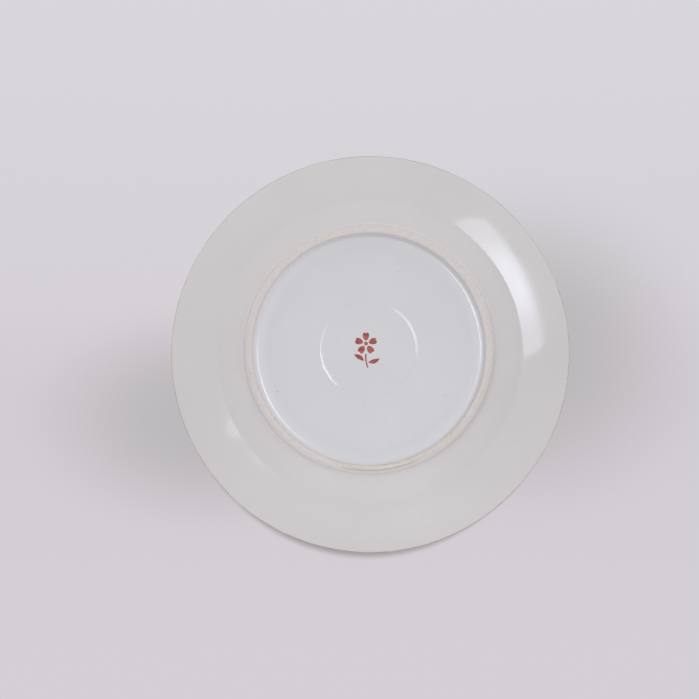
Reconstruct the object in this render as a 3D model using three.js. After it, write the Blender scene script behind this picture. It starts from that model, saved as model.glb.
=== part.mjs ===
// A china dinner plate lying on its foot ring. Millimetres, +Z up through the well, origin at the
// centre of the circle that the foot ring stands on. +Y points to the top of the printed mark.
//
// The clay body is fired in one piece. Each coat on it is a solid of its own: the two glazes, which
// the bare foot keeps apart, the gilt line on the lip and the strokes of the printed mark.
import * as THREE from "three";

// Driving dimensions.
const RIM_RADIUS = 130; // over the glaze
const HEIGHT = 26.9; // over the glaze
const GLAZE = 0.3; // thickness of both glaze coats
const GILDING = 0.1; // thickness of the gilt line
const ENAMEL = 0.12; // thickness of the printed strokes
const FOOT_RADIUS = 77.2; // middle of the bare face that the plate stands on
const FOOT_FACE = 3.4; // width of its flat part
const FOOT_ROUND = 1.1; // the bare clay's rounding beside the face, out and up
const RECESS = 6; // from the table up to the glaze inside the foot ring
const FLOOR = 3.9; // clay between the recess and the well
const CREASE_RADIUS = 98.4; // where the back turns from the wall into the rim
const STEP_RADIUS = 29.6; // shallow step turned in the underside of the floor
const STEP_RISE = 0.38;
const SEGMENTS = 60; // round the plate

const DEGREE = Math.PI / 180;

// ---- Outlines -------------------------------------------------------------------------------

// A station of an outline: radius, height, the way the outline heads there in degrees (0 outward,
// 90 up, 180 inward) and the number of steps to the next station.
const at = (r, z, heading, steps) => ({ point: new THREE.Vector2(r, z), heading, steps });

// The smooth curve from one station to the next, leaving and arriving on their headings.
function curveBetween(a, b) {
  const pull = a.point.distanceTo(b.point) / 3;
  const along = (station, distance) =>
    new THREE.Vector2(
      station.point.x + distance * Math.cos(station.heading * DEGREE),
      station.point.y + distance * Math.sin(station.heading * DEGREE),
    );
  return new THREE.CubicBezierCurve(a.point, along(a, pull), along(b, -pull), b.point);
}

function outlineThrough(stations) {
  const points = [stations[0].point];
  for (let i = 1; i < stations.length; i++) {
    const curve = curveBetween(stations[i - 1], stations[i]);
    points.push(...curve.getPoints(stations[i - 1].steps).slice(1));
  }
  return points;
}

// The outline moved outward by a coat's thickness. Its ends keep their radius, so that an end on
// the axis stays there.
function coatOver(points, thickness) {
  return points.map((p, i) => {
    const before = points[Math.max(i - 1, 0)];
    const after = points[Math.min(i + 1, points.length - 1)];
    const way = after.clone().sub(before).normalize();
    const onAxis = p.x === 0;
    return new THREE.Vector2(
      onAxis ? 0 : p.x + thickness * way.y,
      onAxis ? p.y - thickness * Math.sign(way.x) : p.y - thickness * way.x,
    );
  });
}

// ---- The clay body's outline, from the axis under the floor round to the axis in the well ----

const BODY_RIM = RIM_RADIUS - GLAZE;
const BODY_TOP = HEIGHT - GLAZE;
const BASE_Z = RECESS + GLAZE;
const UNDER_Z = BASE_Z + STEP_RISE; // outside the step
const WELL_Z = BASE_Z + FLOOR;
const footIn = FOOT_RADIUS - FOOT_FACE / 2;
const footOut = FOOT_RADIUS + FOOT_FACE / 2;

const underFloor = [
  at(0, BASE_Z, 0, 1),
  at(STEP_RADIUS, BASE_Z, 0, 1), // the step
  at(STEP_RADIUS + 0.2, BASE_Z + 0.03, 16, 1),
  at(STEP_RADIUS + 1.8, UNDER_Z - 0.03, 7, 1),
  at(STEP_RADIUS + 2.3, UNDER_Z, 0, 1),
  at(footIn - 5.3, UNDER_Z, 0, 2), // the fillet before the foot ring
  at(footIn - 2.5, UNDER_Z - 0.7, -28, 3),
  at(footIn - 1.4, UNDER_Z - 3, -76, 1), // the ring's inner wall
];
const footRing = [
  at(footIn - FOOT_ROUND, FOOT_ROUND, -80, 2),
  at(footIn, 0, 0, 1), // the flat face
  at(footOut, 0, 0, 2),
  at(footOut + FOOT_ROUND, FOOT_ROUND, 80, 1),
];
const backAndFace = [
  at(footOut + 1.5, 3.6, 78, 3), // the ring's outer wall
  at(footOut + 3.1, 5.8, 28, 3), // start of the wall
  at(CREASE_RADIUS - 1, 15.6, 37, 2), // end of the wall
  at(CREASE_RADIUS + 1, 16.5, 10.5, 4), // start of the rim
  at(BODY_RIM - 1.3, BODY_TOP - 2.4, 19, 2), // under the lip
  at(BODY_RIM, BODY_TOP - 1.2, 90, 2), // the lip
  at(BODY_RIM - 1.4, BODY_TOP, 199, 4), // top of the lip
  at(CREASE_RADIUS + 1.8, 19.6, 190, 2), // shoulder of the face
  at(CREASE_RADIUS - 1.6, 18, 215, 3), // wall of the well
  at(footOut + 3, WELL_Z + 0.2, 182, 1), // the well
  at(0, WELL_Z, 180, 0),
];

const bodyOutline = outlineThrough([...underFloor, ...footRing, ...backAndFace]);

// The glaze's edges on the foot are the outermost points of the bare clay, inside and outside.
const indexNear = (r, z) =>
  bodyOutline.findIndex((p) => Math.hypot(p.x - r, p.y - z) < 1e-6);
const innerEdge = indexNear(footIn - FOOT_ROUND, FOOT_ROUND);
const outerEdge = indexNear(footOut + FOOT_ROUND, FOOT_ROUND);

// ---- Round solids ----------------------------------------------------------------------------

const materials = {
  clay: new THREE.MeshStandardMaterial({ color: 0xdccbbb, roughness: 0.75 }),
  glaze: new THREE.MeshStandardMaterial({ color: 0xe9e6e4, roughness: 0.12 }),
  gilding: new THREE.MeshStandardMaterial({ color: 0xa08a5c, roughness: 0.35, metalness: 1 }),
  enamel: new THREE.MeshStandardMaterial({ color: 0x9c2a20, roughness: 0.3 }),
};

const plate = new THREE.Group();

function addSolid(name, geometry, material) {
  const mesh = new THREE.Mesh(geometry, material);
  mesh.name = name;
  plate.add(mesh);
}

// An outline turned round the plate's axis.
function turned(points) {
  return new THREE.LatheGeometry(points, SEGMENTS).rotateX(Math.PI / 2);
}

addSolid("clay_body", turned(bodyOutline), materials.clay);

// Glaze inside the foot ring.
const underFloorClay = bodyOutline.slice(0, innerEdge + 1);
const baseGlaze = [...coatOver(underFloorClay, GLAZE), ...underFloorClay.toReversed()];
addSolid("base_glaze", turned(baseGlaze), materials.glaze);

// Glaze from the foot ring up the back, over the lip and across the face.
const glazedClay = bodyOutline.slice(outerEdge);
const glazeSurface = coatOver(glazedClay, GLAZE);
addSolid("outer_glaze", turned([...glazedClay.toReversed(), ...glazeSurface]), materials.glaze);

// Gilt line over the lip: a closed ring on the glaze, between two radii on the back and the face.
const GILT_BACK_RADIUS = RIM_RADIUS - 1;
const GILT_FACE_RADIUS = RIM_RADIUS - 2.2;
const lip = glazeSurface.filter(
  (p) => p.x > (p.y > HEIGHT - 1.4 ? GILT_FACE_RADIUS : GILT_BACK_RADIUS),
);
const giltRing = [...coatOver(lip, GILDING), ...lip.toReversed()];
addSolid("lip_gilding", turned([...giltRing, giltRing[0]]), materials.gilding);

// ---- The printed mark: a generic blossom on a stem, on the base glaze, seen from below --------

const MARK_X = 2;
const BLOSSOM_Y = 3.6;
const PETALS = 5;
const PETAL_LENGTH = 5.2;
const PETAL_WIDTH = 4.4;
const PETAL_START = 1.9; // from the blossom's centre
const LEAF_LENGTH = 7.6;
const LEAF_WIDTH = 2.9;

// A solid of the enamel's thickness under the glaze's surface, from a flat shape.
function stroke(name, shape, x, y, turnDegrees = 0) {
  const geometry = new THREE.ExtrudeGeometry(shape, {
    depth: ENAMEL,
    bevelEnabled: false,
    curveSegments: 4,
  });
  geometry.rotateZ(turnDegrees * DEGREE);
  geometry.translate(MARK_X + x, y, RECESS - ENAMEL);
  addSolid(name, geometry, materials.enamel);
}

// A petal pointing along +Y, narrow at its foot, with a shallow notch at its tip.
function petalShape() {
  const half = PETAL_WIDTH / 2;
  const tip = PETAL_START + PETAL_LENGTH;
  const shape = new THREE.Shape();
  shape.moveTo(0, PETAL_START);
  shape.bezierCurveTo(half, PETAL_START + 1, half * 1.3, tip - 0.6, half * 0.45, tip);
  shape.quadraticCurveTo(half * 0.15, tip, 0, tip - 0.8);
  shape.quadraticCurveTo(-half * 0.15, tip, -half * 0.45, tip);
  shape.bezierCurveTo(-half * 1.3, tip - 0.6, -half, PETAL_START + 1, 0, PETAL_START);
  return shape;
}

// A leaf pointing along +X from its foot at the origin.
function leafShape() {
  const shape = new THREE.Shape();
  shape.moveTo(0, 0);
  shape.bezierCurveTo(2, LEAF_WIDTH, 5, LEAF_WIDTH, LEAF_LENGTH, 0.6);
  shape.bezierCurveTo(5, -0.6, 2.5, -1, 0, 0);
  return shape;
}

// The stem: a band that narrows downward and bends to one side.
function stemShape() {
  const top = BLOSSOM_Y - PETAL_START - PETAL_LENGTH * 0.9;
  const foot = -11.8;
  const shape = new THREE.Shape();
  shape.moveTo(-0.45, top);
  shape.quadraticCurveTo(0.1, (top + foot) / 2, -1.6, foot);
  shape.lineTo(-0.9, foot - 0.3);
  shape.quadraticCurveTo(1, (top + foot) / 2, 0.45, top);
  return shape;
}

stroke("mark_centre", new THREE.Shape().absarc(0, 0, 1.2, 0, 2 * Math.PI), 0, BLOSSOM_Y);
for (let i = 0; i < PETALS; i++) {
  stroke(`mark_petal_${i + 1}`, petalShape(), 0, BLOSSOM_Y, (i * 360) / PETALS);
}
stroke("mark_stem", stemShape(), 0, 0);
stroke("mark_leaf_upper", leafShape(), 1.3, -7.6, 28);
stroke("mark_leaf_lower", leafShape(), -1.5, -8.4, 158);

export default plate;
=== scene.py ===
"""Looks for the china dinner plate: fine turned surfaces, glaze, bare clay, gilding and enamel."""

import math

import bmesh
import bpy
import numpy as np
from mathutils import Matrix, Vector, noise


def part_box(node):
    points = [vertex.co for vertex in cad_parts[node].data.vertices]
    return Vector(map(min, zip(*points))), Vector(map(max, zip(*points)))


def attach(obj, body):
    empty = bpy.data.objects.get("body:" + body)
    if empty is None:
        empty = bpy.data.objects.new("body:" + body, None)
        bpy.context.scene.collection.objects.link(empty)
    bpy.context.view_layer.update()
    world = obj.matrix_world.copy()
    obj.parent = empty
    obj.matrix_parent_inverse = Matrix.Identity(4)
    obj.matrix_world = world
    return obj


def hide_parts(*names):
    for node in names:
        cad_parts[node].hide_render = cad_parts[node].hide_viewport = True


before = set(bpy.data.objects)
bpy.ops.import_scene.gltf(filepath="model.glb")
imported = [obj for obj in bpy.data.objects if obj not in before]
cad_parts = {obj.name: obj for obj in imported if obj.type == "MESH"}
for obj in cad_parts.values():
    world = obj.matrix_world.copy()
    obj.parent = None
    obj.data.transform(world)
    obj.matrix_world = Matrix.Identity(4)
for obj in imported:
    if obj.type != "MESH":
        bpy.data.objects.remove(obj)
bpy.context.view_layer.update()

MM = 0.001
DEGREE = math.pi / 180

# ---- Sizes, in millimetres -----------------------------------------------------------------------
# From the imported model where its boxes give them, and otherwise the CAD model's driving dimensions.


def box_mm(node):
    """The low and the high corner of a CAD node's box, in mm."""
    low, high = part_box(node)
    return low / MM, high / MM


RIM_RADIUS = box_mm("outer_glaze")[1].x
BODY_RIM = box_mm("clay_body")[1].x
BODY_TOP = box_mm("clay_body")[1].z
GLAZE = RIM_RADIUS - BODY_RIM
GILDING = box_mm("lip_gilding")[1].x - RIM_RADIUS
RECESS = box_mm("mark_stem")[1].z  # from the table up to the glaze inside the foot ring
ENAMEL = RECESS - box_mm("mark_stem")[0].z
MARK_X = sum(corner.x for corner in box_mm("mark_centre")) / 2
BLOSSOM_Y = sum(corner.y for corner in box_mm("mark_centre")) / 2
FLOOR = 3.9  # clay between the recess and the well
FOOT_RADIUS = 77.2  # middle of the bare face that the plate stands on
FOOT_FACE = 3.4  # width of its flat part
FOOT_ROUND = 1.1  # the bare clay's rounding beside the face, out and up
CREASE_RADIUS = 98.4  # where the back turns from the wall into the rim
STEP_RADIUS = 29.6  # shallow step turned in the underside of the floor
STEP_RISE = 0.38

FOOT_IN = FOOT_RADIUS - FOOT_FACE / 2
FOOT_OUT = FOOT_RADIUS + FOOT_FACE / 2
BASE_Z = RECESS + GLAZE
UNDER_Z = BASE_Z + STEP_RISE  # outside the step
WELL_Z = BASE_Z + FLOOR

# ---- Outlines ------------------------------------------------------------------------------------

LEAST_STEPS = 5  # between two stations


def bezier(a, b, share):
    """Points of the smooth curve between two stations (radius, height, heading).

    share holds the points' parameters, from 0 at the first station to 1 at the second.
    """
    p0, p3 = np.array(a[:2], float), np.array(b[:2], float)
    pull = np.linalg.norm(p3 - p0) / 3
    p1 = p0 + pull * np.array([math.cos(a[2] * DEGREE), math.sin(a[2] * DEGREE)])
    p2 = p3 - pull * np.array([math.cos(b[2] * DEGREE), math.sin(b[2] * DEGREE)])
    t = share[:, None]
    return (1 - t) ** 3 * p0 + 3 * (1 - t) ** 2 * t * p1 + 3 * (1 - t) * t**2 * p2 + t**3 * p3


def outline_through(stations, spacing=1.0):
    """Points about spacing apart, closer on short stretches, along the curves between stations."""
    points = [np.array([stations[0][:2]], float)]
    for a, b in zip(stations, stations[1:]):
        steps = max(LEAST_STEPS, round(math.dist(a[:2], b[:2]) / spacing))
        points.append(bezier(a, b, np.arange(1, steps + 1) / steps))
    return np.concatenate(points)


# The clay's outline, as in the CAD model, from the axis under the floor round to the axis in the
# well. A station is a radius, a height and a heading in degrees (0 outward, 90 up, 180 inward).
UNDER_FLOOR = [
    (0, BASE_Z, 0),
    (STEP_RADIUS, BASE_Z, 0),  # the step
    (STEP_RADIUS + 0.2, BASE_Z + 0.03, 16),
    (STEP_RADIUS + 1.8, UNDER_Z - 0.03, 7),
    (STEP_RADIUS + 2.3, UNDER_Z, 0),
    (FOOT_IN - 5.3, UNDER_Z, 0),  # the fillet before the foot ring
    (FOOT_IN - 2.5, UNDER_Z - 0.7, -28),
    (FOOT_IN - 1.4, UNDER_Z - 3, -76),  # the ring's inner wall
    (FOOT_IN - FOOT_ROUND, FOOT_ROUND, -80),
]
FOOT_RING = [
    (FOOT_IN - FOOT_ROUND, FOOT_ROUND, -80),
    (FOOT_IN, 0, 0),  # the flat face
    (FOOT_OUT, 0, 0),
    (FOOT_OUT + FOOT_ROUND, FOOT_ROUND, 80),
]
BACK_AND_FACE = [
    (FOOT_OUT + FOOT_ROUND, FOOT_ROUND, 80),
    (FOOT_OUT + 1.5, 3.6, 78),  # the ring's outer wall
    (FOOT_OUT + 3.1, 5.8, 28),  # start of the wall
    (CREASE_RADIUS - 1, 15.6, 37),  # end of the wall
    (CREASE_RADIUS + 1, 16.5, 10.5),  # start of the rim
    (BODY_RIM - 1.3, BODY_TOP - 2.4, 19),  # under the lip
    (BODY_RIM, BODY_TOP - 1.2, 90),  # the lip
    (BODY_RIM - 1.4, BODY_TOP, 199),  # top of the lip
    (CREASE_RADIUS + 1.8, 19.6, 190),  # shoulder of the face
    (CREASE_RADIUS - 1.6, 18, 215),  # wall of the well
    (FOOT_OUT + 3, WELL_Z + 0.2, 182),  # the well
    (0, WELL_Z, 180),
]

# ---- Turned meshes -------------------------------------------------------------------------------

SEGMENTS = 256
ANGLES = [2 * math.pi * i / SEGMENTS for i in range(SEGMENTS)]
LAYER_GAP = 31.7  # between layers of noise, in features


def unevenness(angle, radius, size, layer):
    """Smooth noise from about -1 to 1 over the plate, with features about size mm across."""
    lift = LAYER_GAP * layer * size
    place = Vector((radius * math.cos(angle), radius * math.sin(angle), lift))
    return noise.noise(place / size)


def finished(name, mesh, replaced, material):
    """The bmesh as a smooth object that rides on the plate in place of its CAD nodes."""
    data = bpy.data.meshes.new(name)
    mesh.to_mesh(data)
    mesh.free()
    data.shade_smooth()
    data.materials.append(material)
    made = bpy.data.objects.new(name, data)
    bpy.context.scene.collection.objects.link(made)
    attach(made, "root")
    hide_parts(*replaced)
    return made


def turned_mesh(rows):
    """A closed turned mesh from rows of (radius, height) at each angle, or a height on the axis."""
    mesh = bmesh.new()
    rings = []
    for row in rows:
        if isinstance(row, float):
            rings.append([mesh.verts.new((0, 0, row * MM))])
            continue
        places = [(r * math.cos(a), r * math.sin(a), z) for a, (r, z) in zip(ANGLES, row)]
        rings.append([mesh.verts.new(Vector(place) * MM) for place in places])
    pairs = list(zip(rings, rings[1:]))
    if len(rings[0]) > 1 and len(rings[-1]) > 1:
        pairs.append((rings[-1], rings[0]))
    for a, b in pairs:
        for i in range(SEGMENTS):
            j = (i + 1) % SEGMENTS
            if len(a) == 1:
                mesh.faces.new((a[0], b[i], b[j]))
            elif len(b) == 1:
                mesh.faces.new((a[i], b[0], a[j]))
            else:
                mesh.faces.new((a[i], b[i], b[j], a[j]))
    bmesh.ops.recalc_face_normals(mesh, faces=mesh.faces)
    return mesh


def plain_rows(outline):
    """Rows for an outline that is the same all round."""
    return [float(z) if r == 0 else [(r, z)] * SEGMENTS for r, z in outline]


class Outline:
    """An outline with the clay on its left, whose points are found by the length along it."""

    def __init__(self, points):
        self.points = points
        steps = np.linalg.norm(np.diff(points, axis=0), axis=1)
        self.along = np.concatenate([[0], np.cumsum(steps)])
        self.length = self.along[-1]
        way = np.gradient(points, self.along, axis=0)
        way /= np.linalg.norm(way, axis=1)[:, None]
        self.outward = np.stack([way[:, 1], -way[:, 0]], axis=1)
        self.outward[points[:, 0] == 0, 0] = 0

    def at(self, along, table):
        """The row of a table, points or outward, at a length along the outline."""
        return np.array([np.interp(along, self.along, table[:, k]) for k in (0, 1)])


BEAD = 0.6  # length of a coat's rounded end, mm
GIVE = 6.0  # a coat follows its uneven end over this length, mm


def coat_rows(outline, thickness_at, ends):
    """Rows of a closed coat on an outline, its outer surface and then its inner one.

    ends gives, for the outline's start and end, how far the coat stops short there at an angle,
    or None where the outline ends on the axis. thickness_at takes an angle and a radius.
    """

    def ring_at(along, on_surface):
        row = []
        for angle in ANGLES:
            place, cover = along, 1.0
            for end, short in zip((0, outline.length), ends):
                if short is None:
                    continue
                inward = 1 if end == 0 else -1
                distance = abs(along - end)
                gap = short(angle)
                place += inward * gap * max(0.0, 1 - distance / GIVE)
                left = min(1.0, distance / BEAD)
                cover *= math.sqrt(1 - (1 - left) ** 2)
            point = outline.at(place, outline.points)
            if on_surface:
                coat = cover * thickness_at(angle, point[0])
                point = point + coat * outline.at(place, outline.outward)
            row.append(tuple(point))
        return row

    def rows_of(on_surface):
        made = []
        for along, (r, z) in zip(outline.along, outline.points):
            if r > 0:
                made.append(ring_at(along, on_surface))
            else:
                out = outline.at(along, outline.outward)[1]
                made.append(float(z + on_surface * thickness_at(0, 0) * out))
        return made

    outer, inner = rows_of(True), rows_of(False)
    # At an end off the axis, the two surfaces meet in one row.
    if ends[1] is None:
        return inner[::-1] + outer[1:]
    shared = 0 if ends[0] is None else 1
    return outer + inner[shared:-1][::-1]


# ---- Materials -----------------------------------------------------------------------------------

SPECK_BROWN = (0.2, 0.15, 0.11)


def new_material(name, **constants):
    """A Principled material with constant sockets, its node tree and its shader node."""
    material = bpy.data.materials.new(name)
    material.use_nodes = True
    shader = material.node_tree.nodes["Principled BSDF"]
    for socket, value in constants.items():
        shader.inputs[socket.replace("_", " ")].default_value = value
    return material, material.node_tree, shader


def node(tree, kind, inputs=(), **settings):
    """A new node, with settings on it and (socket, value or output) pairs on its inputs."""
    made = tree.nodes.new("ShaderNode" + kind)
    for key, value in settings.items():
        setattr(made, key, value)
    for socket, value in inputs:
        if isinstance(value, bpy.types.NodeSocket):
            tree.links.new(value, made.inputs[socket])
        else:
            made.inputs[socket].default_value = value
    return made


def maths(tree, operation, *values):
    return node(tree, "Math", enumerate(values), operation=operation).outputs[0]


def place_of(tree):
    return node(tree, "TexCoord").outputs["Object"]


def noise_of(tree, vector, size, detail=2.0, roughness=0.5):
    """Noise from 0 to 1 with features about size mm across."""
    inputs = [("Vector", vector), ("Scale", 1 / (size * MM)), ("Detail", detail)]
    return node(tree, "TexNoise", [*inputs, ("Roughness", roughness)]).outputs["Fac"]


def remap(tree, value, low, high, to_low=0.0, to_high=1.0):
    """The value eased from its range low to high onto the range to_low to to_high."""
    inputs = [("Value", value), (1, low), (2, high), (3, to_low), (4, to_high)]
    return node(tree, "MapRange", inputs, interpolation_type="SMOOTHSTEP").outputs[0]


def blended(tree, share, a, b):
    """The colour a where share is 0 and b where it is 1."""
    made = node(tree, "MixRGB", [("Fac", share)])
    for socket, colour in (("Color1", a), ("Color2", b)):
        if isinstance(colour, bpy.types.NodeSocket):
            tree.links.new(colour, made.inputs[socket])
        else:
            made.inputs[socket].default_value = (*colour, 1)
    return made.outputs["Color"]


def radius_of(tree, vector):
    """Distance from the plate's axis, in mm."""
    flat = node(tree, "VectorMath", [(0, vector), (1, (1000, 1000, 0))], operation="MULTIPLY")
    return node(tree, "VectorMath", [(0, flat.outputs[0])], operation="LENGTH").outputs["Value"]


def round_the_plate(tree, vector, stretch):
    """Coordinates whose features run round the plate's axis, stretch times as long as wide."""
    direction = node(tree, "VectorMath", [(0, vector), (1, (1, 1, 0))], operation="MULTIPLY")
    unit = node(tree, "VectorMath", [(0, direction.outputs[0])], operation="NORMALIZE")
    length = FOOT_RADIUS * MM / stretch
    along = node(tree, "VectorMath", [(0, unit.outputs[0]), ("Scale", length)], operation="SCALE")
    across = maths(tree, "MULTIPLY", radius_of(tree, vector), MM)
    lift = node(tree, "CombineXYZ", [("Z", across)])
    both = node(tree, "VectorMath", [(0, along.outputs[0]), (1, lift.outputs[0])])
    return both.outputs[0]


def bump(tree, height, height_mm, under=None):
    """A bump whose height input from 0 to 1 stands for height_mm, on top of another one."""
    inputs = [("Height", height), ("Distance", height_mm * MM), ("Strength", 1.0)]
    if under is not None:
        inputs.append(("Normal", under))
    return node(tree, "Bump", inputs).outputs["Normal"]


def specks_of(tree, vector, spacing, size, share):
    """A mask of round specks of about size mm, in a share of the cells of a grid spacing wide."""
    flat = node(tree, "VectorMath", [(0, vector), (1, (1, 1, 0))], operation="MULTIPLY").outputs[0]
    inputs = [("Vector", flat), ("Scale", 1 / (spacing * MM))]
    cells = node(tree, "TexVoronoi", inputs, voronoi_dimensions="2D")
    chance = node(tree, "SeparateColor", [("Color", cells.outputs["Color"])])
    chosen = maths(tree, "LESS_THAN", chance.outputs["Red"], share)
    reach = maths(tree, "MULTIPLY_ADD", chance.outputs["Green"], size / spacing, 0.3 * size / spacing)
    inside = maths(tree, "DIVIDE", cells.outputs["Distance"], reach)
    return maths(tree, "MULTIPLY", chosen, remap(tree, inside, 0.35, 0.55, 1.0, 0.0))


def facing(tree, vector, direction):
    """How much a place lies in a direction from the plate's axis, from -1 to 1."""
    flat = node(tree, "VectorMath", [(0, vector), (1, (1, 1, 0))], operation="MULTIPLY")
    unit = node(tree, "VectorMath", [(0, flat.outputs[0])], operation="NORMALIZE")
    inputs = [(0, unit.outputs[0]), (1, Vector(direction).normalized().to_3d())]
    return node(tree, "VectorMath", inputs, operation="DOT_PRODUCT").outputs["Value"]


def glaze_material(name, colour, pools_and_painted_shading):
    """Glossy glaze: mottled, with ripples and specks, tinted in bands round the foot underneath.

    A band has its radius and reach in mm, a direction from the plate's axis and two tints, on the
    side that lies in the direction and on the other one. The bands are partly the glaze's own tint
    where it pools, and partly painted light and shade: the tint depends on the side of the ring,
    and inside the foot ring the glaze is painted lighter against the shade there.
    """
    material, tree, shader = new_material(name, IOR=1.52)
    place = place_of(tree)
    mottle = remap(tree, noise_of(tree, place, 45, 3), 0.3, 0.7)
    base = blended(tree, mottle, colour, [c * t for c, t in zip(colour, (0.975, 0.97, 0.965))])
    fine = remap(tree, noise_of(tree, place, 6, 4, 0.6), 0.35, 0.75, 0.0, 0.35)
    base = blended(tree, fine, base, [c * 0.96 for c in colour])
    height = node(tree, "SeparateXYZ", [("Vector", place)]).outputs["Z"]
    underneath = remap(tree, height, 0.008, 0.0095, 0.85, 0.0)
    # Painted light and shade: each band's tint depends on its side of the ring, as if light fell
    # there, over the glaze's own pooling tint.
    for band_radius, reach, direction, near_painted_tint, far_painted_tint in pools_and_painted_shading:
        offset = maths(tree, "SUBTRACT", radius_of(tree, place), float(band_radius))
        depth = remap(tree, maths(tree, "ABSOLUTE", offset), 0.2 * reach, reach, 1.0, 0.0)
        side = remap(tree, facing(tree, place, direction), -0.8, 0.8)
        tint = blended(tree, side, far_painted_tint, near_painted_tint)
        base = blended(tree, maths(tree, "MULTIPLY", depth, underneath), base, tint)
    dark = specks_of(tree, place, 27, 0.55, 0.3)
    base = blended(tree, maths(tree, "MULTIPLY", dark, 0.75), base, SPECK_BROWN)
    faint = specks_of(tree, place, 11, 0.8, 0.25)
    base = blended(tree, maths(tree, "MULTIPLY", faint, 0.16), base, (0.42, 0.36, 0.3))
    tree.links.new(base, shader.inputs["Base Color"])

    smudges = remap(tree, noise_of(tree, place, 24, 4, 0.6), 0.35, 0.75, 0.07, 0.16)
    tree.links.new(smudges, shader.inputs["Roughness"])

    turning = noise_of(tree, round_the_plate(tree, place, 14), 2.6, 2)
    normal = bump(tree, turning, 0.003)
    normal = bump(tree, noise_of(tree, place, 3.2, 2), 0.0015, normal)
    normal = bump(tree, dark, 0.03, normal)
    tree.links.new(normal, shader.inputs["Normal"])
    return material


def bare_clay_material():
    """Dry fired clay with streaks of ochre round the ring, most of them at the viewer's lower right.

    Its outer edge has painted shade in the lower half, and a thin brown line runs along the bottom.
    """
    material, tree, shader = new_material("bare_clay", IOR=1.5)
    place = place_of(tree)
    streaks = remap(tree, noise_of(tree, round_the_plate(tree, place, 22), 0.9, 3, 0.6), 0.42, 0.7)
    drift = maths(tree, "ADD", facing(tree, place, (-0.5, -1)), noise_of(tree, place, 40, 2))
    patches = remap(tree, drift, 0.8, 1.6, 0.12, 0.75)
    grain = remap(tree, noise_of(tree, place, 3, 4), 0.35, 0.7)
    base = blended(tree, grain, (0.722, 0.692, 0.672), (0.672, 0.637, 0.612))
    base = blended(tree, maths(tree, "MULTIPLY", streaks, patches), base, (0.58, 0.47, 0.36))
    # Painted shade: the outer edge of the bare face is a darker tone of the clay on the -Y half.
    outer = remap(tree, radius_of(tree, place), FOOT_RADIUS - 1, FOOT_RADIUS + 2.2)
    below = remap(tree, facing(tree, place, (0, -1)), -0.5, 0.3)
    base = blended(tree, maths(tree, "MULTIPLY", outer, below), base, (0.635, 0.598, 0.588))
    offset = maths(tree, "SUBTRACT", radius_of(tree, place), FOOT_RADIUS + 0.6)
    line = remap(tree, maths(tree, "ABSOLUTE", offset), 0.1, 0.55, 0.8, 0.0)
    arc = remap(tree, facing(tree, place, (-0.09, -1)), 0.93, 0.99)
    base = blended(tree, maths(tree, "MULTIPLY", line, arc), base, (0.47, 0.34, 0.24))
    grime = specks_of(tree, place, 5, 0.7, 0.35)
    base = blended(tree, maths(tree, "MULTIPLY", grime, 0.4), base, SPECK_BROWN)
    tree.links.new(base, shader.inputs["Base Color"])
    dry = remap(tree, streaks, 0.0, 1.0, 0.78, 0.58)
    tree.links.new(dry, shader.inputs["Roughness"])
    grit = noise_of(tree, place, 0.5, 4, 0.7)
    normal = bump(tree, grit, 0.05)
    scratches = noise_of(tree, round_the_plate(tree, place, 30), 0.4, 2)
    tree.links.new(bump(tree, scratches, 0.03, normal), shader.inputs["Normal"])
    return material


def gilding_material():
    """Thin old gold, rubbed through to the glaze in places."""
    material, tree, shader = new_material("gilding", IOR=1.5)
    place = place_of(tree)
    rubbed = remap(tree, noise_of(tree, round_the_plate(tree, place, 9), 1.6, 4, 0.65), 0.5, 0.68)
    tone = remap(tree, noise_of(tree, place, 9, 3), 0.35, 0.65)
    gold = blended(tree, tone, (0.5, 0.42, 0.32), (0.42, 0.34, 0.25))
    tree.links.new(blended(tree, rubbed, gold, (0.62, 0.58, 0.53)), shader.inputs["Base Color"])
    metal = remap(tree, rubbed, 0.0, 1.0, 0.55, 0.0)
    tree.links.new(metal, shader.inputs["Metallic"])
    roughness = remap(tree, noise_of(tree, place, 2.5, 3), 0.3, 0.7, 0.38, 0.52)
    tree.links.new(roughness, shader.inputs["Roughness"])
    tree.links.new(bump(tree, noise_of(tree, place, 0.7, 3), 0.004), shader.inputs["Normal"])
    return material


def enamel_material():
    """Iron-red overglaze enamel, darker where the brush left more of it."""
    material, tree, shader = new_material("enamel", IOR=1.5)
    place = place_of(tree)
    load = remap(tree, noise_of(tree, place, 2.2, 4, 0.65), 0.32, 0.68)
    red = blended(tree, load, (0.46, 0.1, 0.075), (0.29, 0.045, 0.035))
    thin = remap(tree, noise_of(tree, place, 0.8, 3, 0.7), 0.58, 0.74)
    base = blended(tree, maths(tree, "MULTIPLY", thin, 0.45), red, (0.6, 0.36, 0.3))
    tree.links.new(base, shader.inputs["Base Color"])
    roughness = remap(tree, load, 0.0, 1.0, 0.42, 0.22)
    tree.links.new(roughness, shader.inputs["Roughness"])
    tree.links.new(bump(tree, load, 0.03), shader.inputs["Normal"])
    return material


WARM_WHITE = (0.705, 0.685, 0.687)
COOL_WHITE = (0.722, 0.726, 0.752)
# Painted shade and light on the band outside the foot ring: darker towards -Y and lighter elsewhere.
OUTER_POOLS_AND_PAINTED_SHADING = [(FOOT_OUT + 2.2, 1.5, (-0.3, -1), (0.66, 0.64, 0.645), (0.75, 0.73, 0.73))]
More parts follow.
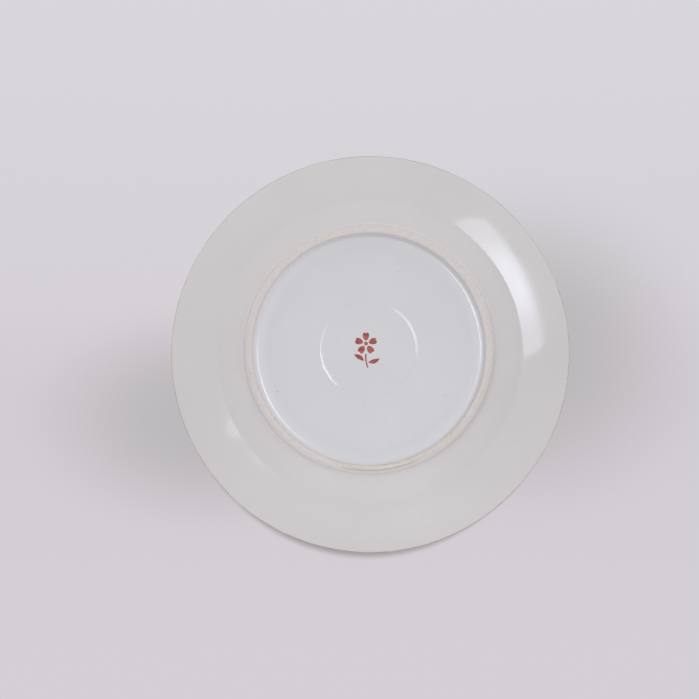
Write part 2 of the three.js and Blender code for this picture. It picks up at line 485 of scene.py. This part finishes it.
# Inside the foot ring: a wide band painted lighter all round, against the shade beside the ring, and
# a narrow band on the ring's fillet and inner wall painted darker on one side and lighter on the
# other.
BASE_POOLS_AND_PAINTED_SHADING = [
    (FOOT_IN - 2, 9, (-0.87, 0.5), (0.8, 0.8, 0.825), (0.795, 0.795, 0.82)),
    (FOOT_IN - 1.3, 2.1, (-0.87, 0.5), (0.6, 0.6, 0.62), (0.84, 0.83, 0.84)),
]
bare_clay = bare_clay_material()
outer_glaze = glaze_material("outer_glaze", WARM_WHITE, OUTER_POOLS_AND_PAINTED_SHADING)
base_glaze = glaze_material("base_glaze", COOL_WHITE, BASE_POOLS_AND_PAINTED_SHADING)
gilding = gilding_material()
enamel = enamel_material()

# ---- The plate's body and glazes -----------------------------------------------------------------

LEAST_GAP = 0.05  # mm that a coat stops short of its end at the least
AXIS_REACH = 20  # mm from the axis over which the glaze evens out, as all angles meet there


def glaze_drift(angle, radius):
    """How much thicker than its mean the glaze is at a place, in mm."""
    return 0.05 * unevenness(angle, radius, 38, 1)


def glaze_thickness(angle, radius):
    return GLAZE + glaze_drift(angle, radius) * min(1, radius / AXIS_REACH)


def ragged(mean, drift, nibble, layer):
    """How far a coat stops short of its end, in mm: it drifts, and is nibbled finely."""

    def short(angle):
        wander = drift * unevenness(angle, FOOT_RADIUS, 30, layer)
        fine = nibble * unevenness(angle, FOOT_RADIUS, 3.2, layer + 1)
        return max(LEAST_GAP, mean + wander + fine)

    return short


FOOT_SPACING = 0.3  # mm between the outline's points on the foot ring
body_points = np.concatenate(
    [
        outline_through(UNDER_FLOOR),
        outline_through(FOOT_RING, FOOT_SPACING)[1:],
        outline_through(BACK_AND_FACE)[1:],
    ]
)
finished("plate_body", turned_mesh(plain_rows(body_points)), ["clay_body"], bare_clay)

base_outline = Outline(outline_through(UNDER_FLOOR))
base_rows = coat_rows(base_outline, glaze_thickness, (None, ragged(0.5, 0.5, 0.2, 3)))
finished("glaze_inside_foot", turned_mesh(base_rows), ["base_glaze"], base_glaze)

outer_outline = Outline(outline_through(BACK_AND_FACE))
outer_rows = coat_rows(outer_outline, glaze_thickness, (ragged(0.5, 0.5, 0.2, 5), None))
finished("glaze_outside", turned_mesh(outer_rows), ["outer_glaze"], outer_glaze)

# ---- The gilt line over the lip ------------------------------------------------------------------

GILT_BACK_RADIUS = RIM_RADIUS - 0.45  # a finer line than in the CAD model, as in the photo
GILT_FACE_RADIUS = RIM_RADIUS - 2.2


def gilt_outline():
    """The glaze's surface over the lip, between the gilding's two edges."""
    surface = outer_outline.points + GLAZE * outer_outline.outward
    on_face = np.arange(len(surface)) > np.argmax(surface[:, 0])
    inner_radius = np.where(on_face, GILT_FACE_RADIUS, GILT_BACK_RADIUS)
    return surface[surface[:, 0] > inner_radius]


def gilt_thickness(angle, radius):
    """The gilding's thickness over the glaze's mean surface, which drifts under it."""
    return glaze_drift(angle, radius) + GILDING * (0.8 + 0.2 * unevenness(angle, radius, 4, 9))


gilt_ends = (ragged(0.1, 0.1, 0.1, 11), ragged(0.15, 0.15, 0.1, 13))
gilt_rows = coat_rows(Outline(gilt_outline()), gilt_thickness, gilt_ends)
finished("gilt_line", turned_mesh(gilt_rows), ["lip_gilding"], gilding)

# ---- The painted mark, seen from below: a generic blossom on a stem ------------------------------

PETALS = 5
PETAL_LENGTH = 5.2
PETAL_WIDTH = 4.4
PETAL_START = 1.9  # from the blossom's centre
CENTRE_RADIUS = 1.2
LEAF_LENGTH = 7.6
LEAF_WIDTH = 2.9


def curve_points(start, *curves, steps=14):
    """A closed outline from a start and Bezier curves given by their further control points."""
    points = [Vector(start)]
    for curve in curves:
        controls = [points[-1], *(Vector(c) for c in curve)]
        for step in range(1, steps + 1):
            t, level = step / steps, controls
            while len(level) > 1:
                level = [a.lerp(b, t) for a, b in zip(level, level[1:])]
            points.append(level[0])
    return points[:-1]


def petal_outline():
    """A petal pointing along +Y, narrow at its foot, with a shallow notch at its tip."""
    half, tip = PETAL_WIDTH / 2, PETAL_START + PETAL_LENGTH
    return curve_points(
        (0, PETAL_START),
        [(half, PETAL_START + 1), (half * 1.3, tip - 0.6), (half * 0.45, tip)],
        [(half * 0.15, tip), (0, tip - 0.8)],
        [(-half * 0.15, tip), (-half * 0.45, tip)],
        [(-half * 1.3, tip - 0.6), (-half, PETAL_START + 1), (0, PETAL_START)],
    )


def leaf_outline():
    """A leaf pointing along +X from its foot at the origin."""
    return curve_points(
        (0, 0),
        [(2, LEAF_WIDTH), (5, LEAF_WIDTH), (LEAF_LENGTH, 0.6)],
        [(5, -0.6), (2.5, -1), (0, 0)],
    )


def stem_outline():
    """A band that narrows downward and bends to one side."""
    top, foot = BLOSSOM_Y - PETAL_START - PETAL_LENGTH * 0.9, -11.8
    return curve_points(
        (-0.45, top),
        [(0.1, (top + foot) / 2), (-1.6, foot)],
        [(-0.9, foot - 0.3)],
        [(1, (top + foot) / 2), (0.45, top)],
        [(-0.45, top)],
    )


def disc_outline(radius, count=40):
    turn = 2 * math.pi / count
    return [Vector((radius * math.cos(i * turn), radius * math.sin(i * turn))) for i in range(count)]


def stroke(name, outline, x, y, turn=0.0):
    """A low domed patch of enamel on the base glaze, with a brushed, slightly uneven edge.

    x is from the mark's middle and y from the plate's axis, in mm, and turn is in degrees.
    """
    mesh = bmesh.new()
    centre = sum(outline, Vector((0, 0))) / len(outline)
    top_z, low_z = RECESS, RECESS - ENAMEL
    cos, sin = math.cos(turn * DEGREE), math.sin(turn * DEGREE)

    def ring_of(shrink, z):
        ring = []
        for p in outline:
            q = p + (centre - p).normalized() * shrink
            q = Vector((q.x * cos - q.y * sin + MARK_X + x, q.x * sin + q.y * cos + y, z))
            edge = 0.09 * noise.noise(q * 1.7) + 0.05 * noise.noise(q * 5)
            q.x += edge
            q.y += edge
            ring.append(mesh.verts.new(q * MM))
        return ring

    rings = [ring_of(0, top_z), ring_of(0.02, top_z - ENAMEL * 0.6), ring_of(0.14, low_z)]
    for a, b in zip(rings, rings[1:]):
        for i in range(len(outline)):
            j = (i + 1) % len(outline)
            mesh.faces.new((a[i], a[j], b[j], b[i]))
    mesh.faces.new(rings[0])
    mesh.faces.new(rings[-1])
    bmesh.ops.triangulate(mesh, faces=[f for f in mesh.faces if len(f.verts) > 4])
    bmesh.ops.recalc_face_normals(mesh, faces=mesh.faces)
    made = finished(name, mesh, [name.replace("enamel", "mark")], enamel)
    made.data.shade_flat()


stroke("enamel_centre", disc_outline(CENTRE_RADIUS), 0, BLOSSOM_Y)
for petal in range(PETALS):
    stroke(f"enamel_petal_{petal + 1}", petal_outline(), 0, BLOSSOM_Y, petal * 360 / PETALS)
stroke("enamel_stem", stem_outline(), 0, 0)
stroke("enamel_leaf_upper", leaf_outline(), 1.3, -7.6, 28)
stroke("enamel_leaf_lower", leaf_outline(), -1.5, -8.4, 158)

# ---- Floor, world, lights and camera -------------------------------------------------------------

FLOOR_REACH = 8  # m, radius of the stage's floor


def one_sided_material(name, colour):
    """A pale matt surface that only its upper side shows."""
    material, tree, shader = new_material(name, Roughness=0.9)
    shader.inputs["Base Color"].default_value = (*colour, 1)
    clear = node(tree, "BsdfTransparent")
    below = node(tree, "NewGeometry").outputs["Backfacing"]
    seen = node(tree, "MixShader", [(0, below), (1, shader.outputs[0]), (2, clear.outputs[0])])
    output = tree.nodes["Material Output"]
    tree.links.new(seen.outputs[0], output.inputs["Surface"])
    return material


def add_floor():
    """The table's top, which only a camera above it sees."""
    mesh = bmesh.new()
    bmesh.ops.create_circle(mesh, cap_ends=True, segments=96, radius=FLOOR_REACH)
    data = bpy.data.meshes.new("floor")
    mesh.to_mesh(data)
    mesh.free()
    data.materials.append(one_sided_material("floor", (0.66, 0.645, 0.665)))
    floor = bpy.data.objects.new("floor", data)
    bpy.context.scene.collection.objects.link(floor)
    for ray in ("diffuse", "glossy", "transmission", "shadow", "volume_scatter"):
        setattr(floor, "visible_" + ray, False)
    floor.location.z = -0.3 * MM  # clear of the foot's flat face


add_floor()

# The sweep behind the plate, seen from below: the direction's y and the colour there.
SWEEP_STOPS = [
    (-0.08, (0.665, 0.631, 0.672)),
    (0.04, (0.64, 0.606, 0.648)),
    (0.08, (0.64, 0.606, 0.646)),
    (0.13, (0.672, 0.64, 0.68)),
    (0.30, (0.69, 0.68, 0.716)),
]
# Painted shadows of the plate on the sweep, as ovals of directions (x, y): to the viewer's left,
# to the viewer's right and close under the rim. Each has its centre, its reach, the share of the
# reach within which it is at its full depth, and its colour.
SWEEP_SHADOWS = [
    ((0.1137, 0.057), (0.125, 0.076), 0.2, (0.508, 0.486, 0.506)),
    ((-0.0715, 0.096), (0.127, 0.112), 0.2, (0.503, 0.481, 0.501)),
    ((0.0205, 0.0857), (0.1137, 0.1137), 0.955, (0.375, 0.341, 0.356)),
]


def sweep_shadow(tree, parts, centre, reach, start):
    """A mask of one of the painted shadows, from a direction's parts."""
    offsets = []
    for axis, middle, half in zip("XY", centre, reach):
        offset = maths(tree, "SUBTRACT", parts.outputs[axis], middle)
        offsets.append(maths(tree, "POWER", maths(tree, "DIVIDE", offset, half), 2.0))
    distance = maths(tree, "SQRT", maths(tree, "ADD", *offsets))
    return remap(tree, distance, start, 1.0, 1.0, 0.0)


def set_world():
    """A pale studio. Round the zenith is the sweep that the plate is seen against from below."""
    world = bpy.data.worlds.new("studio")
    world.use_nodes = True
    bpy.context.scene.world = world
    tree = world.node_tree
    background = tree.nodes["Background"]
    direction = node(tree, "TexCoord").outputs["Generated"]
    parts = node(tree, "SeparateXYZ", [("Vector", direction)])
    ramp = node(tree, "ValToRGB")
    low, high = SWEEP_STOPS[0][0], SWEEP_STOPS[-1][0]
    ramp.color_ramp.interpolation = "B_SPLINE"
    elements = ramp.color_ramp.elements
    while len(elements) < len(SWEEP_STOPS):
        elements.new(0.5)
    for element, (y, colour) in zip(elements, SWEEP_STOPS):
        element.position = (y - low) / (high - low)
        element.color = (*colour, 1)
    share = node(tree, "MapRange", [("Value", parts.outputs["Y"]), (1, low), (2, high)])
    tree.links.new(share.outputs[0], ramp.inputs[0])
    sweep = ramp.outputs[0]
    for centre, reach, start, colour in SWEEP_SHADOWS:
        sweep = blended(tree, sweep_shadow(tree, parts, centre, reach, start), sweep, colour)
    leftward = remap(tree, parts.outputs["X"], -1.0, 1.0)
    around = blended(tree, leftward, (0.74, 0.73, 0.745), (0.765, 0.755, 0.77))
    zenith = remap(tree, parts.outputs["Z"], 0.8, 0.92)
    tree.links.new(blended(tree, zenith, around, sweep), background.inputs["Color"])
    background.inputs["Strength"].default_value = 1.0


set_world()

PLATE_CENTRE = Vector((0, 0, box_mm("outer_glaze")[1].z * MM))


def from_below(right, up, distance):
    """A place seen from the plate's back, by angles from its axis to the viewer's right and up."""
    x, y = -math.tan(right * DEGREE), math.tan(up * DEGREE)
    return PLATE_CENTRE + Vector((x, y, -1)).normalized() * distance


def aim(made, place, target):
    """Stands a lamp or camera at a place, looking at the target, with the plate's +Y upwards."""
    back = (place - target).normalized()
    right = Vector((0, 1, 0)).cross(back).normalized()
    turn = Matrix((right, back.cross(right), back)).transposed()
    made.matrix_world = Matrix.Translation(place) @ turn.to_4x4()


def add_softbox(name, width, height, power, shade):
    """A lamp that shows as a highlight only or, with shade, brightens without a highlight."""
    data = bpy.data.lights.new(name, "AREA")
    data.shape = "RECTANGLE"
    data.size, data.size_y = width, height
    data.energy = power
    lamp = bpy.data.objects.new(name, data)
    bpy.context.scene.collection.objects.link(lamp)
    lamp.visible_camera = False
    lamp.visible_diffuse = shade
    lamp.visible_glossy = not shade
    return lamp


PANEL_CENTRE = PLATE_CENTRE + Vector((0.022, 0, -1.4))
PANEL_LIGHT = (0.9, 0.95, 1.06, 1)  # a little cooler than the studio


def add_panel(name, outline, glow, hot_spot):
    """A lit panel of any outline below the plate that only reflections show.

    Its outline is in m to the viewer's right and up from PANEL_CENTRE. hot_spot is a place in the
    same terms, how much more the panel glows there and how far that reaches.
    """
    (right, up), extra, reach = hot_spot
    material = bpy.data.materials.new(name)
    material.use_nodes = True
    tree = material.node_tree
    inputs = [(0, place_of(tree)), (1, (-right, up, 0))]
    distance = node(tree, "VectorMath", inputs, operation="DISTANCE").outputs["Value"]
    strength = remap(tree, distance, 0.0, reach, glow + extra, glow)
    emission = node(tree, "Emission", [("Color", PANEL_LIGHT), ("Strength", strength)])
    tree.links.new(emission.outputs[0], tree.nodes["Material Output"].inputs["Surface"])
    mesh = bmesh.new()
    mesh.faces.new([mesh.verts.new((-x, y, 0)) for x, y in outline])
    data = bpy.data.meshes.new(name)
    mesh.to_mesh(data)
    mesh.free()
    data.materials.append(material)
    panel = bpy.data.objects.new(name, data)
    bpy.context.scene.collection.objects.link(panel)
    panel.location = PANEL_CENTRE
    for ray in ("camera", "diffuse", "transmission", "shadow", "volume_scatter"):
        setattr(panel, "visible_" + ray, False)


KEY_OUTLINE = curve_points(
    (0.45, 0.05),
    [(0.8, 0.14), (1.16, 0.1), (1.07, 0.32)],
    [(1.02, 0.52), (0.96, 0.78), (0.83, 0.99)],
    [(0.71, 1.17), (0.5, 0.88), (0.19, 0.6)],
)
add_panel("key", KEY_OUTLINE, 3.7, ((0.82, 0.56), 5.0, 0.37))
SIDE_OUTLINE = curve_points(
    (-0.4, 0.42),
    [(-0.5, 0.43), (-0.6, 0.4)],
    [(-0.66, 0.1), (-0.66, -0.1)],
    [(-0.68, -0.18), (-0.75, -0.2)],
    [(-0.95, -0.38), (-0.655, -0.302)],
    [(-0.6, -0.34), (-0.61, -0.4)],
    [(-0.66, -0.5), (-0.53, -0.43)],
    [(-0.42, -0.35), (-0.33, -0.24)],
    [(-0.38, 0.0), (-0.4, 0.42)],
)
add_panel("side", SIDE_OUTLINE, 2.8, ((-0.43, -0.02), 7.0, 0.42))

# Light on the back, from the viewer's side and above.
top = add_softbox("top", 1.0, 1.0, 2.0, shade=True)
aim(top, PLATE_CENTRE + Vector((0.1, 1.15, -0.96)), PLATE_CENTRE)

# Cards that stand upright below the table's level, beyond the rim towards -Y and +Y. They light
# the back as the table and the ceiling do where the plate stands on edge.
CARD_DISTANCE = 0.15  # m from the plate's axis
CARD_TOP = -0.003
for name, side, width, depth, power in (
    ("table_card", -1, 0.24, 0.21, 0.054),
    ("ceiling_card", 1, 0.8, 0.15, 0.035),
):
    card = add_softbox(name, width, depth, power, shade=True)
    turn = Matrix.Rotation(-side * math.pi / 2, 4, "X")
    card.matrix_world = Matrix.Translation((0, side * CARD_DISTANCE, CARD_TOP - depth / 2)) @ turn

# Lamps above the table, for the plate's face and sides.
for name, place, width, height, power, shade in (
    ("window", (-1.3, 1.15, 0.85), 0.3, 0.6, 1.2, False),
    ("far_window", (1.25, -0.95, 0.5), 0.3, 0.6, 0.6, False),
    ("above", (-1.3, 0.7, 0.8), 0.9, 0.9, 6.0, True),
):
    aim(add_softbox(name, width, height, power, shade), Vector(place), PLATE_CENTRE)

camera_data = bpy.data.cameras.new("camera")
camera_data.lens = 85
camera = bpy.data.objects.new("camera", camera_data)
bpy.context.scene.collection.objects.link(camera)
bpy.context.scene.camera = camera
CAMERA_PLACE = from_below(1.1, -5.6, 1.0796)
CAMERA_TARGET = PLATE_CENTRE + Vector((0.0132, 0.0019, 0))
aim(camera, CAMERA_PLACE, CAMERA_TARGET)
bpy.context.scene.view_settings.view_transform = "Standard"
